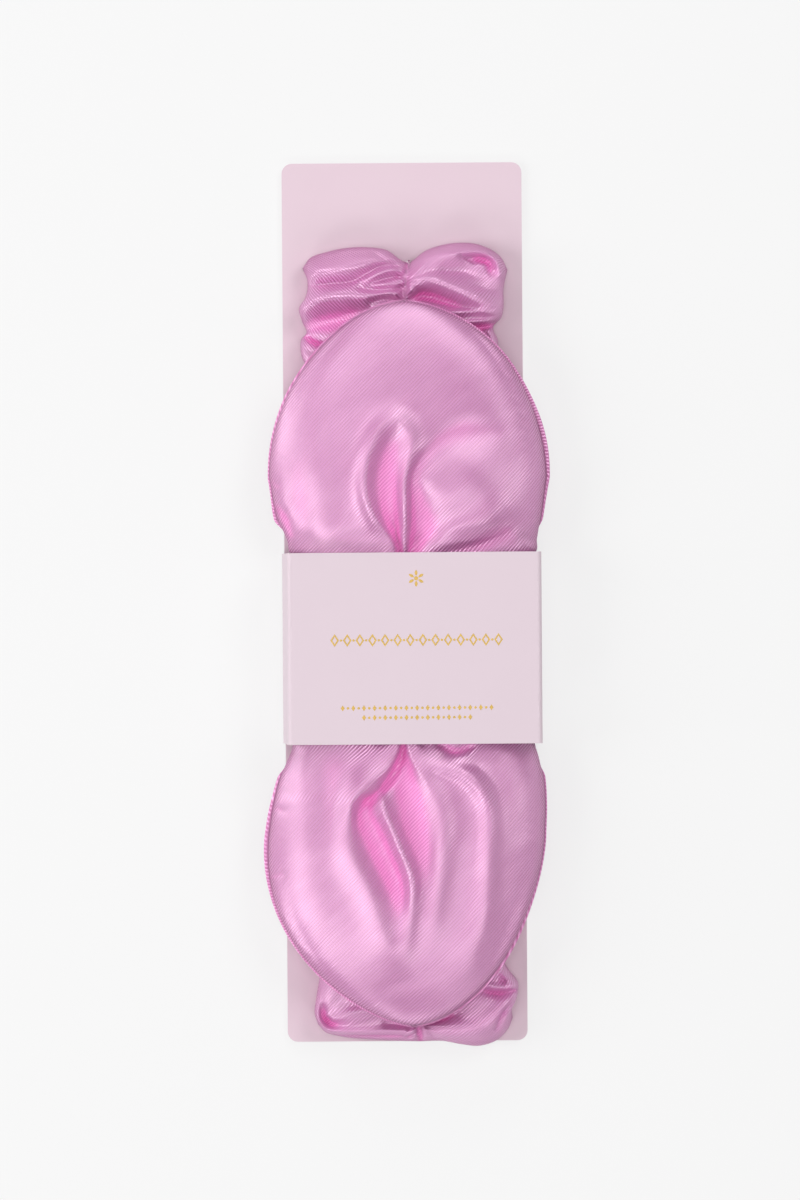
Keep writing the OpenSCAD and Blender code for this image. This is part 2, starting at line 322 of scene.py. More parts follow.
# Painted light: a saturated pink glow of bounced light for the fold pockets, and painted shade for the
# seams.
SATIN_PAINTED_GLOW = (1.0, 0.21, 0.67)
# Painted shade: the darker colour laid along the seams, where the satin turns down.
SATIN_PAINTED_SHADE = (0.32, 0.05, 0.20)


def satin(name):
    """Polyester satin: diagonal twill lines over fine threads, with a soft lilac gloss."""
    n = Nodes(name)
    uv = n.add("ShaderNodeUVMap", uv_map="cloth").outputs[0]
    split = n.add("ShaderNodeSeparateXYZ", {0: uv})
    u, v = split.outputs[0], split.outputs[1]
    wander = n.math("MULTIPLY", n.noise(900, 2, vector=uv), 0.00012)
    across = n.math("ADD", n.math("SUBTRACT", u, v), wander)
    turns = 2 * math.pi / (math.sqrt(2) * TWILL_PITCH * MM)
    twill = n.math("SINE", n.math("MULTIPLY", across, turns))
    thread = n.math("SINE", n.math("MULTIPLY", n.math("ADD", u, v), turns * THREAD_FINER))
    twill = n.math("MULTIPLY", twill, TWILL_SHARE)
    thread = n.math("MULTIPLY", thread, THREAD_SHARE)
    weave = n.math("ADD", n.math("ADD", twill, thread), 0.5)
    patch = n.noise(140, 3, 0.55, vector=uv)
    shade = n.math("ADD", n.math("MULTIPLY", weave, 0.85), n.math("MULTIPLY", patch, 0.15))
    # Painted light: the fold-depth tone paints a saturated pink glow of bounced light into the pockets,
    # and the seam tone paints shade along the seams; both also roughen the satin.
    painted_glow = n.add("ShaderNodeAttribute", attribute_name="painted_glow").outputs["Fac"]
    seam_shade = n.add("ShaderNodeAttribute", attribute_name="seam_shade").outputs["Fac"]
    colour = n.mix(n.math("MULTIPLY", painted_glow, 0.6), n.mix(shade, SATIN_DARK, SATIN_LIGHT), SATIN_PAINTED_GLOW)
    colour = n.mix(n.math("MULTIPLY", seam_shade, 0.6), colour, SATIN_PAINTED_SHADE)
    rough = n.math("ADD", n.math("MULTIPLY", weave, -0.28), 0.43)
    rough = n.math("ADD", n.math("MULTIPLY", painted_glow, 0.2), rough)
    rough = n.math("ADD", n.math("MULTIPLY", seam_shade, 0.25), rough)
    relief = n.add("ShaderNodeBump", {"Strength": 1.0, "Distance": WEAVE_RELIEF * MM, "Height": weave})
    grain = n.add("ShaderNodeTangent", direction_type="UV_MAP", uv_map="cloth").outputs[0]
    return n.set(
        Base_Color=colour,
        Roughness=rough,
        Anisotropic=0.6,
        Tangent=grain,
        Normal=relief.outputs[0],
        Specular_IOR_Level=0.5,
        IOR=2.6,
        Metallic=0.2,
        Sheen_Weight=0.05,
        Sheen_Roughness=0.4,
        Sheen_Tint=(0.95, 0.82, 1.0),
    )


def board(name, colour, shade):
    """Coated paperboard: nearly smooth, with a faint mottle and fibres in its relief."""
    n = Nodes(name)
    place = n.add("ShaderNodeTexCoord").outputs["Object"]
    mottle = n.noise(60, 4, 0.6, vector=place)
    fibre = n.noise(2600, 3, 0.6, vector=place)
    relief = n.add("ShaderNodeBump", {"Strength": 0.12, "Distance": 0.00003, "Height": fibre})
    return n.set(
        Base_Color=n.mix(n.math("MULTIPLY", mottle, 0.6), colour, shade),
        Roughness=n.math("ADD", n.math("MULTIPLY", fibre, 0.12), 0.5),
        Normal=relief.outputs[0],
        Specular_IOR_Level=0.35,
    )


def foil(name):
    """Hot-stamped gold foil, faintly uneven where it took the board's grain."""
    n = Nodes(name)
    place = n.add("ShaderNodeTexCoord").outputs["Object"]
    grain = n.noise(3200, 3, 0.6, vector=place)
    relief = n.add("ShaderNodeBump", {"Strength": 0.25, "Distance": 0.00002, "Height": grain})
    return n.set(
        Base_Color=n.mix(grain, (0.27, 0.17, 0.04), (0.50, 0.34, 0.11)),
        Roughness=n.math("ADD", n.math("MULTIPLY", grain, 0.2), 0.28),
        Normal=relief.outputs[0],
        Metallic=1.0,
    )


def plain(name, light, dark, rough, scale, **extra):
    """A lightly mottled finish for the small hidden pieces."""
    n = Nodes(name)
    place = n.add("ShaderNodeTexCoord").outputs["Object"]
    grain = n.noise(scale, 3, 0.6, vector=place)
    relief = n.add("ShaderNodeBump", {"Strength": 0.3, "Distance": 0.00008, "Height": grain})
    return n.set(
        Base_Color=n.mix(grain, dark, light),
        Roughness=n.math("ADD", n.math("MULTIPLY", grain, 0.2), rough),
        Normal=relief.outputs[0],
        **extra,
    )


SATIN = satin("satin_pink")
CARD = board("card_board", (0.72, 0.57, 0.64), (0.69, 0.53, 0.61))
SLEEVE = board("sleeve_board", (0.70, 0.585, 0.645), (0.67, 0.555, 0.615))
FOIL = foil("gold_foil")
NYLON = plain(
    "clear_nylon", (0.97, 0.86, 0.93), (0.9, 0.8, 0.86), 0.1, 900, Transmission_Weight=0.92, IOR=1.2
)
GLUE = plain("glue", (0.85, 0.82, 0.72), (0.75, 0.71, 0.6), 0.35, 600)
ELASTIC = plain("woven_elastic", (0.86, 0.84, 0.83), (0.7, 0.68, 0.68), 0.6, 1500)
THREAD_LIGHT = plain("stitch_thread", (0.92, 0.62, 0.82), (0.8, 0.45, 0.7), 0.4, 2500)
THREAD = plain("overlock_thread", (0.78, 0.30, 0.58), (0.6, 0.16, 0.42), 0.5, 2200)


def finish_node(name, material):
    """Gives a carried-over CAD node its material."""
    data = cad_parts[name].data
    data.materials.clear()
    data.materials.append(material)


for node_name, material in {
    "backing_card": CARD,
    "sleeve": SLEEVE,
    "sleeve_glue": GLUE,
    "foil_emblem": FOIL,
    "foil_title": FOIL,
    "foil_footer": FOIL,
    "top_tie": NYLON,
    "bottom_tie": NYLON,
    "band_elastic": ELASTIC,
    "casing_seams": THREAD,
}.items():
    finish_node(node_name, material)


# ---------------------------------------------------------------- the bow's two lobes

SEAM_Z = 12.0
TIP_RISE = 4.0
RISE_FROM = 60
RISE_OVER = 30
IRON_OVER = 44
LOBE_ROOT = 14.0
LOBE_FLATNESS = 3.0
DOME_POWER = 0.56
CROWN_POWER = 0.62
HELD_WITHIN = 0.35
BACK_DROP = 2.6
BACK_DROP_AT_TIP = 1.4
BACK_PROUD = 2.0
FRONT_OVER = 0.55
GATHER_HEIGHT = 0.55
PUCKER_HEIGHT = 0.10
SLEEVE_LIMIT = [(14, 22.4), (26, 22.6), (32.5, 22.9), (37, 25.2), (44, 28.2), (54, 31), (110, 33)]
SQUEEZE = 0.9
LOBE_COLUMNS = 211
LOBE_ROWS = 191
FREE_FROM = 33.5
FREE_OVER = 5
# Fold depth at which the painted pocket glow is full, and the widths of the painted seam shade on the
# front and back panels.
FULL_GLOW_DEPTH = 2.2
SEAM_SHADE_WIDTH = 1.2
BACK_SEAM_SHADE_WIDTH = 0.15
BACK_CLOTH_AWAY = 200.0


class Lobe:
    """One half of the bow, from inside the knot's wrap to its tip. Reaches are along its own way out."""

    def __init__(self, way, tip, belly, belly_hw, tip_power, centre, half, crown, folds, bumps):
        self.way, self.tip, self.belly = way, tip, belly
        self.belly_hw, self.tip_power = belly_hw, tip_power
        self.centre, self.half, self.crown_keys = centre, half, crown
        self.folds, self.bumps = folds, bumps

    def taper(self, reach):
        """From 1 at the belly to 0 at the tip, as the square of a quarter round's height."""
        t = np.clip((reach - self.belly) / (self.tip - self.belly), 0, 1)
        return np.maximum(1 - t * t, 0)

    def half_width(self, reach):
        tip_part = self.belly_hw * self.taper(reach) ** self.tip_power
        return np.where(reach < self.belly, through(self.half, reach), tip_part)

    def middle(self, reach):
        return through(self.centre, reach)

    def seam(self, reach):
        return SEAM_Z + TIP_RISE * ease((reach - RISE_FROM) / RISE_OVER)

    def ironed(self, reach):
        """What brings the front below the seam's own rise, so that the tip rounds off slowly."""
        past = reach - RISE_FROM
        return TIP_RISE * (ease(past / IRON_OVER) - ease(past / RISE_OVER))

    def crown(self, reach):
        return through(self.crown_keys, reach) * self.taper(reach) ** CROWN_POWER

    def side(self, x, reach):
        """Where x lies between the middle, 0, and either seam, -1 and 1."""
        return np.clip((x - self.middle(reach)) / np.maximum(self.half_width(reach), 1e-6), -1, 1)

    def folded(self, x, y):
        """Every fold's height at x, y."""
        total = np.zeros_like(x)
        for points, settings in self.folds:
            total += fold(x, y, points, **settings)
        for centre, radii, height, turn in self.bumps:
            total += bump(x, y, centre, radii, height, turn)
        return total

    def room(self, x, reach, side=None):
        """How far the panels can part, from 0 at the seams to 1 in the middle."""
        s = self.side(x, reach) if side is None else side
        return np.maximum(1 - np.abs(s) ** LOBE_FLATNESS, 0)

    def dome(self, x, y, side=None):
        reach = y * self.way
        return self.seam(reach) + self.crown(reach) * self.room(x, reach, side) ** DOME_POWER

    def front(self, x, y, side=None):
        reach = y * self.way
        s = self.side(x, reach) if side is None else side
        held = ease(self.room(x, reach, s) / HELD_WITHIN)
        z = self.dome(x, y, s)
        z = z + (self.folded(x, y) + self.ironed(reach)) * held
        gathers = ripple(x, reach * 0.25, 0, 4.4, 3) * ease((36 - reach) / 16)
        uneven = ripple(x, y, 25, 13, 4) * 0.07 + ripple(x, y, 110, 8, 6) * 0.05
        z = z + (GATHER_HEIGHT * gathers + uneven) * held
        pucker = ripple(x, y, 60, 3.2, 1) * np.exp(-(((1 - np.abs(s)) * 40 - 2.5) / 2.5) ** 2)
        z = z + PUCKER_HEIGHT * pucker * held
        # Under the sleeve's travel the satin stays below its board, and rises smoothly past it.
        limit = through(SLEEVE_LIMIT, reach)
        return limit - SQUEEZE * np.logaddexp(0, (limit - z) / SQUEEZE)

    def back(self, x, y, side=None):
        reach = y * self.way
        risen = ease((reach - RISE_FROM) / RISE_OVER)
        drop = BACK_DROP - (BACK_DROP - BACK_DROP_AT_TIP) * risen
        drop = drop * self.taper(reach) ** 0.5
        return self.seam(reach) - drop * self.room(x, reach, side) ** 0.5

    def build(self, name, bulges):
        """The pillow's mesh. bulges are (side, reach, span, width): where the back shows past the seam."""
        a = np.linspace(-1, 1, LOBE_COLUMNS)
        b = np.linspace(0, 1, LOBE_ROWS)
        a = 0.3 * a + 0.7 * np.sin(a * math.pi / 2)
        b = 0.55 * b + 0.45 * np.sin(b * math.pi / 2)
        b, a = np.meshgrid(b, a, indexing="ij")
        disc_x, disc_y = a * np.sqrt(1 - b * b / 2), b * np.sqrt(1 - a * a / 2)
        rim = np.sqrt(np.maximum(1 - disc_y**2, 1e-12))
        s = np.clip(np.where(rim > 1e-4, disc_x / rim, 1.0), -1, 1)
        reach = LOBE_ROOT + (self.tip - LOBE_ROOT) * disc_y
        x = self.middle(reach) + self.half_width(reach) * s
        y = reach * self.way
        z = self.front(x, y, s)
        edge = np.zeros(x.shape, bool)
        edge[:, 0] = edge[:, -1] = edge[-1, :] = True
        z = np.where(edge, self.seam(reach), z)
        front = np.stack([x, y, z], axis=-1)
        back = np.stack([x, y, np.where(edge, self.seam(reach), self.back(x, y, s))], axis=-1)
        # Both panels roll over the sunken seam. The back stands proud, and more where it peeks out.
        widening = (self.half_width(reach + 0.05) - self.half_width(reach - 0.05)) / 0.1
        lean = np.hypot(1, widening)
        out_x, out_y = np.sign(s) / lean, -self.way * widening / lean
        gap = (1 - np.abs(s)) * self.half_width(reach) / lean
        proud = BACK_PROUD + np.zeros_like(x)
        for bulge_side, at, span, width in bulges:
            proud += width * np.exp(-(((reach - at) / span) ** 2)) * (np.sign(s) == bulge_side)
        proud *= (1 - np.exp(-gap / 0.35)) * np.exp(-gap / 3.0)
        over = FRONT_OVER * (1 - np.exp(-gap / 0.2)) * np.exp(-gap / 1.4)
        free = ease((reach - FREE_FROM) / FREE_OVER)
        for sheet, shift in ((front, over * free), (back, proud * free)):
            sheet[..., 0] += out_x * shift
            sheet[..., 1] += out_y * shift
        level = self.way * self.belly
        uv_front = cloth_uv(x, y, self.dome, self.folded, level)
        uv_back = cloth_uv(x, y, self.back, self.folded, level) + BACK_CLOTH_AWAY
        # Painted light: a pink glow of bounced light in the fold pockets, and shade along the seams on
        # both panels.
        painted_glow = ease(-self.folded(x, y) / FULL_GLOW_DEPTH)
        seam_shades = [np.exp(-((gap / width) ** 2)) for width in (SEAM_SHADE_WIDTH, BACK_SEAM_SHADE_WIDTH)]
        return pillow(name, front, back, uv_front, uv_back, painted_glow, seam_shades, self.way < 0)


upper = Lobe(
    way=1,
    tip=101.4,
    belly=50,
    belly_hw=40.4,
    tip_power=0.57,
    centre=[(14, 0), (21, 1.4), (28, 2.6), (32, 2.3), (38, 1.6), (50, 1.2), (73, 1.1), (92, 1.4),
            (101.4, 0.4)],
    half=[(14, 14.6), (18, 15.4), (22, 24), (27, 35.2), (32, 36.8), (38, 38.4), (50, 40.4)],
    crown=[(14, 7.6), (22, 8.8), (29, 9.6), (36, 11.0), (43, 12.0), (52, 12.6), (70, 12), (101.4, 10)],
    folds=[
        # one crest: up the left of the pocket, over it as an arch, and down as the centre ridge
        ([(-1.9, 27, 1.8, 1.6), (-3.4, 30.4, 2.2, 1.7), (-7.4, 35.2, 2.5, 2.0), (-10.2, 40.9, 2.6, 2.2),
          (-11.6, 46.6, 2.6, 2.4), (-11.4, 52.3, 2.5, 2.5), (-9.3, 59.3, 2.3, 2.7),
          (-5.6, 65.2, 2.0, 3.0), (-1.8, 66.6, 1.8, 3.1), (1.6, 63.4, 1.8, 2.7),
          (2.4, 58.6, 1.8, 2.2), (1.1, 53.5, 1.9, 1.8), (0.1, 47.8, 2.3, 1.8), (0.1, 41.5, 2.5, 1.8),
          (0.2, 35.8, 2.6, 1.7), (-0.1, 31.3, 2.6, 1.6), (-0.2, 26, 2.2, 1.5)], dict(power=1.7)),
        # the pocket inside the arch
        ([(-1.0, 26, -3.4, 1.5), (-1.8, 30, -3.3, 2.0), (-3.2, 36, -3.0, 2.9), (-4.2, 42, -2.7, 3.6),
          (-4.7, 48, -2.4, 3.9), (-4.4, 54, -2.0, 3.6), (-3.4, 59.5, -1.3, 2.8),
          (-2.8, 62.5, -0.5, 2.2)], SOFT),
        # the fine crease along its floor
        ([(-0.9, 28, -0.8, 0.5), (-2.4, 34, -0.8, 0.5), (-3.4, 39, -0.5, 0.5)], SHARP),
        # the pocket to the right of the ridge, the crease that leaves it, and the band over the dome
        ([(1.8, 26, -3.2, 1.5), (3.0, 30.5, -3.5, 2.3), (4.2, 35.5, -3.3, 3.0), (3.9, 40.5, -2.8, 2.5),
          (3.1, 45.5, -2.2, 1.8), (2.7, 49.5, -1.7, 1.3), (4.4, 53.5, -1.3, 1.3), (7.6, 57.6, -1.1, 1.9),
          (12, 61.6, -1.2, 2.6), (18, 64.0, -1.2, 3.0), (24, 63.4, -0.8, 3.4), (29, 61, -0.3, 3.4)],
         dict(lean=2.0)),
        # right shoulder
        ([(4.6, 27.6, 1.2, 2.0), (9, 30.6, 2.0, 2.4), (14.2, 33, 2.2, 2.8), (22.6, 36.4, 1.9, 3.6),
          (29, 41, 1.0, 4.5)], SOFT),
        # low ground between the shoulder and the sleeve
        ([(14, 28.2, -0.8, 2), (22, 30, -1.4, 2.6), (29.5, 33.5, -1.4, 3.0)], SOFT),
        # left flank
        ([(-31, 54, -0.4, 3.4), (-30.5, 44, -0.9, 3.2), (-29, 34, -0.6, 3)], SOFT),
        # puckers at the left edge
        ([(-38.6, 43, -0.9, 1.1), (-35.4, 39, -2.4, 1.2), (-33.4, 33.5, -1.4, 1.3)], SHARP),
        ([(-39.5, 50, -0.6, 0.9), (-37.0, 47.6, -0.9, 0.9)], SHARP),
    ],
    bumps=[
        ((19, 47), (12, 10), 1.8, 20),
        ((-22, 33.5), (7, 5), 1.0, 0),
        ((30, 78), (9, 14), 0.5, -30),
    ],
)

lower = Lobe(
    way=-1,
    tip=110.4,
    belly=56,
    belly_hw=40.3,
    tip_power=0.62,
    centre=[(14, 0), (21, 1.4), (29, 2.4), (36, 1.9), (56, 0.1), (80, -1.1), (91, -0.6), (110.4, 1.9)],
    half=[(14, 14.6), (18, 15.4), (22, 24), (27, 34.8), (30, 36.0), (36, 38.0), (46, 39.7), (56, 40.3)],
    crown=[(14, 7.6), (22, 8.8), (29, 9.6), (36, 11.0), (43, 12.0), (54, 12.8), (70, 12.4), (110.4, 10)],
    folds=[
        # left ridge: down to the pocket's corner, then beside the pocket
        ([(-1.5, -26, 2.0, 1.1), (-2.6, -29, 2.6, 1.4), (-6.0, -33.2, 3.0, 2.3), (-10, -37.6, 3.2, 2.6),
          (-13.4, -41.4, 3.0, 2.4), (-16.3, -45.4, 2.6, 2.1), (-16.8, -50, 2.1, 2.1),
          (-17.0, -55, 2.1, 2.5), (-15.4, -61.5, 2.2, 2.7), (-12.5, -67.6, 2.2, 2.7),
          (-10.1, -73.1, 2.1, 2.7), (-8.1, -79.2, 1.9, 2.7), (-6.2, -85.3, 1.4, 2.7),
          (-4.6, -91, 0.7, 2.9), (-3.4, -98, 0, 3)], dict(lean=1.6, power=1.8)),
        # the sharp V from the sleeve down to the middle ridge
        ([(-0.7, -25, -2.6, 0.8), (-0.9, -29.5, -3.2, 0.9), (-2.2, -33.5, -3.4, 1.3),
          (-4.4, -38, -3.2, 1.5), (-7.8, -42, -2.8, 1.4), (-11, -45, -2.0, 1.5)], SOFT),
        # the long pocket between the left and middle ridges
        ([(-11.6, -45.2, -2.2, 1.8), (-11.6, -49, -3.0, 2.4), (-9.2, -54.5, -3.3, 2.8),
          (-6.0, -61.5, -3.3, 2.8), (-3.1, -68.5, -2.8, 2.7), (-2.2, -75, -1.7, 2.4),
          (-2.4, -81, -0.5, 2.2)], dict(lean=1.4)),
        # middle ridge
        ([(-8.0, -41, 0.8, 1.2), (-6.1, -47.6, 1.9, 1.7), (-3.7, -53.3, 2.3, 2.0),
          (-1.4, -59.4, 2.5, 2.1), (0.7, -64.9, 2.5, 2.2), (1.7, -69.7, 2.3, 2.2),
          (1.4, -74.6, 2.0, 2.3), (0.4, -80.6, 1.5, 2.4), (-0.6, -88, 0.8, 2.8),
          (-1.2, -97, 0, 3)], SOFT),
        # the shallower hollow to its right
        ([(-0.6, -29, -0.8, 0.9), (-0.2, -34, -2.8, 2.2), (0.0, -40, -3.2, 3.6),
          (1.4, -46, -3.0, 4.2), (3.0, -53, -2.6, 4.2), (4.6, -60, -1.9, 3.4),
          (5.4, -67, -1.2, 2.8), (4.8, -74, -0.5, 2.6)], SOFT),
        # soft ridge along that hollow
        ([(0.5, -27, 1.8, 0.9), (1.4, -30, 1.6, 1.2), (3.3, -34, 1.2, 1.8), (6.6, -38.3, 0.9, 2.6),
          (9.6, -44.4, 1.1, 2.8), (10.8, -51.2, 1.5, 2.8), (10.5, -59.4, 1.6, 2.9),
          (9.5, -67.6, 1.5, 2.9), (8.1, -75.8, 1.1, 2.9), (7.2, -83, 0.6, 3.2),
          (6.4, -94, 0, 3.4)], SOFT),
        # right ridge
        ([(2.4, -27, 1.6, 1.1), (4.9, -32.0, 2.6, 1.6), (9.3, -34.0, 2.9, 1.9), (13.4, -35.0, 2.9, 2.1),
          (17.8, -37.0, 3.0, 2.4), (21.6, -41, 3.0, 2.7), (23.8, -45.8, 2.9, 2.9),
          (24.5, -52.6, 2.8, 3.1), (24.0, -60.8, 2.6, 3.2), (23.6, -70.3, 2.2, 3.4),
          (22.2, -80.6, 1.6, 3.8), (18.9, -88.7, 0.9, 4), (15.5, -99, 0, 4)], SOFT),
        # crease at the sleeve's edge
        ([(10, -28.4, -1.4, 1.2), (14.5, -30.3, -2.2, 1.1), (19.5, -28.8, -1.2, 1.1)], SHARP),
        # left flank
        ([(-30.0, -33, 0.7, 4.5), (-29.6, -46.4, 1.0, 5), (-29.9, -62, 0.7, 6), (-26, -78, 0.4, 6)], SOFT),
        ([(-21.7, -36, -0.8, 4.6), (-21.4, -52.3, -0.7, 5.2)], SOFT),
        # puckers along the left seam
        ([(-39.6, -46, -0.8, 0.9), (-36.6, -47.4, -0.8, 0.9)], SHARP),
        ([(-39.2, -67, -0.8, 0.9), (-36.4, -66, -0.7, 0.9)], SHARP),
    ],
    bumps=[
        ((16.6, -32.2), (2.4, 1.4), 1.0, 0),
        ((32, -44), (5, 9), 0.7, 0),
        ((-3.5, -88), (9, 6), 0.6, 0),
    ],
)

UPPER_BULGES = [(1, 60, 16, 1.4), (-1, 37, 6, 1.0)]
LOWER_BULGES = [(-1, 57, 17, 1.3), (1, 92, 12, 0.5)]

upper_bow = upper.build("upper_bow_half", UPPER_BULGES)
lower_bow = lower.build("lower_bow_half", LOWER_BULGES)
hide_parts("upper_lobe_front", "upper_lobe_back", "upper_lobe_wadding", "bow_waist")
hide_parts("lower_lobe_front", "lower_lobe_back", "lower_lobe_wadding", "bow_waist")
# Each half's placement is baked into its mesh.
for bow, lobe_body, way in ((upper_bow, "upper_lobe", 1), (lower_bow, "lower_lobe", -1)):
    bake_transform(bow)


# ---------------------------------------------------------------- the band's turned ends


def patch(left, right, far, near, rows, columns):
    """A grid of x, y points inside four outline curves. left and right run from near to far.

    Also gives each point's place: v from 0 at near to 1 at far, and u from -1 at left to 1 at right.
    """
    v = np.linspace(0, 1, rows)
    u = np.linspace(0, 1, columns)
    v = 0.6 * v + 0.4 * np.sin(v * math.pi / 2)
    u = 0.6 * u + 0.4 * (1 - np.cos(u * math.pi)) / 2

    def curve(points, at):
        line = along(points, OUTLINE_SAMPLES)
        steps = np.concatenate([[0], np.cumsum(np.linalg.norm(np.diff(line, axis=0), axis=1))])
        steps /= steps[-1]
        return np.column_stack([np.interp(at, steps, line[:, 0]), np.interp(at, steps, line[:, 1])])

    left, right = curve(left, v)[:, None, :], curve(right, v)[:, None, :]
    far, near = curve(far, u)[None, :, :], curve(near, u)[None, :, :]
    vv, uu = v[:, None, None], u[None, :, None]
    near_corners = (1 - uu) * left[0] + uu * right[0]
    far_corners = (1 - uu) * left[-1] + uu * right[-1]
    corners = (1 - vv) * near_corners + vv * far_corners
    grid = (1 - uu) * left + uu * right + (1 - vv) * near + vv * far - corners
    return grid[..., 0], grid[..., 1], *np.meshgrid(v, 2 * u - 1, indexing="ij")


BAND_MID_Z = 6.6
BAND_BACK_Z = 2.3
BAND_RELIEF = 1.15
RIM_FLATNESS = 9
RIM_WRAP = 4.0
PINCH_PLEATS = 11
PLEAT_HEIGHT = 0.35
PLEATS_AT = 3.5
PLEATS_WITHIN = 3.2
# Depth at which a band end's painted pocket glow is full, and the width of its painted shade round the
# rim.
END_GLOW_DEPTH = 2.0
END_SEAM_SHADE = 0.75
END_BACK_AWAY = 90.0
BAND_ROWS = 110
BAND_COLUMNS = 190


def level_ground(x, _y):
    """A turned end's dome: none, so that its weave keeps its pitch as seen from above."""
    return np.zeros_like(x)


def band_end(name, outline, base, folds, bumps, pinch, flip, turned=1):
    """A turned end of the band: a puffed front with folds, sewn to a plain back round its outline.

    turned is -1 where the weave left of the pinch shows mirrored.
    """
    x, y, v, u = patch(*outline, BAND_ROWS, BAND_COLUMNS)

    def front(gx, gy):
        z = np.full_like(gx, base)
        for points, settings in folds:
            z = z + BAND_RELIEF * fold(gx, gy, points, **settings)
        for centre, radii, height, turn in bumps:
            z = z + bump(gx, gy, centre, radii, height, turn)
        away = np.hypot(gx - pinch[0], gy - pinch[1])
        angle = np.arctan2(gy - pinch[1], gx - pinch[0])
        pleat = np.sin(angle * PINCH_PLEATS + 0.8 * np.sin(angle * 3))
        z = z + PLEAT_HEIGHT * pleat * np.exp(-((away - PLEATS_AT) / PLEATS_WITHIN) ** 2)
        return z + 0.10 * ripple(gx, gy, 80, 4.0, 5)

    across, up = 1 - np.abs(u) ** RIM_FLATNESS, 1 - v**RIM_FLATNESS
    rim = (np.maximum(across, 0) * np.maximum(up, 0)) ** 0.5
    z = BAND_MID_Z + (front(x, y) - BAND_MID_Z) * rim
    low = BAND_MID_Z - (BAND_MID_Z - BAND_BACK_Z) * rim
    # Down the steep rim the weave goes on at its own pitch.
    rim_x = np.sign(u) * RIM_WRAP * (1 - np.sqrt(across))
    rim_y = np.sign(y) * RIM_WRAP * (1 - np.sqrt(up))
    uv_front = cloth_uv(x, y, level_ground, front, y.mean())
    uv_front = uv_front + np.stack([rim_x, rim_y], axis=-1)
    uv_front[..., 0] = uv_front[..., 0] * np.where(x < pinch[0], turned, 1)
    uv_back = np.stack([x + rim_x, y + rim_y], axis=-1) + END_BACK_AWAY
    top_sheet = np.stack([x, y, z], axis=-1)
    back_sheet = np.stack([x, y, low], axis=-1)
    # Painted light: a pink glow of bounced light in the band end's hollows, and shade round its rim.
    painted_glow = ease((base - 0.3 - front(x, y)) / END_GLOW_DEPTH)
    seam_shade = 1 - ease(rim / END_SEAM_SHADE)
    return pillow(name, top_sheet, back_sheet, uv_front, uv_back, painted_glow, (seam_shade, seam_shade), flip)


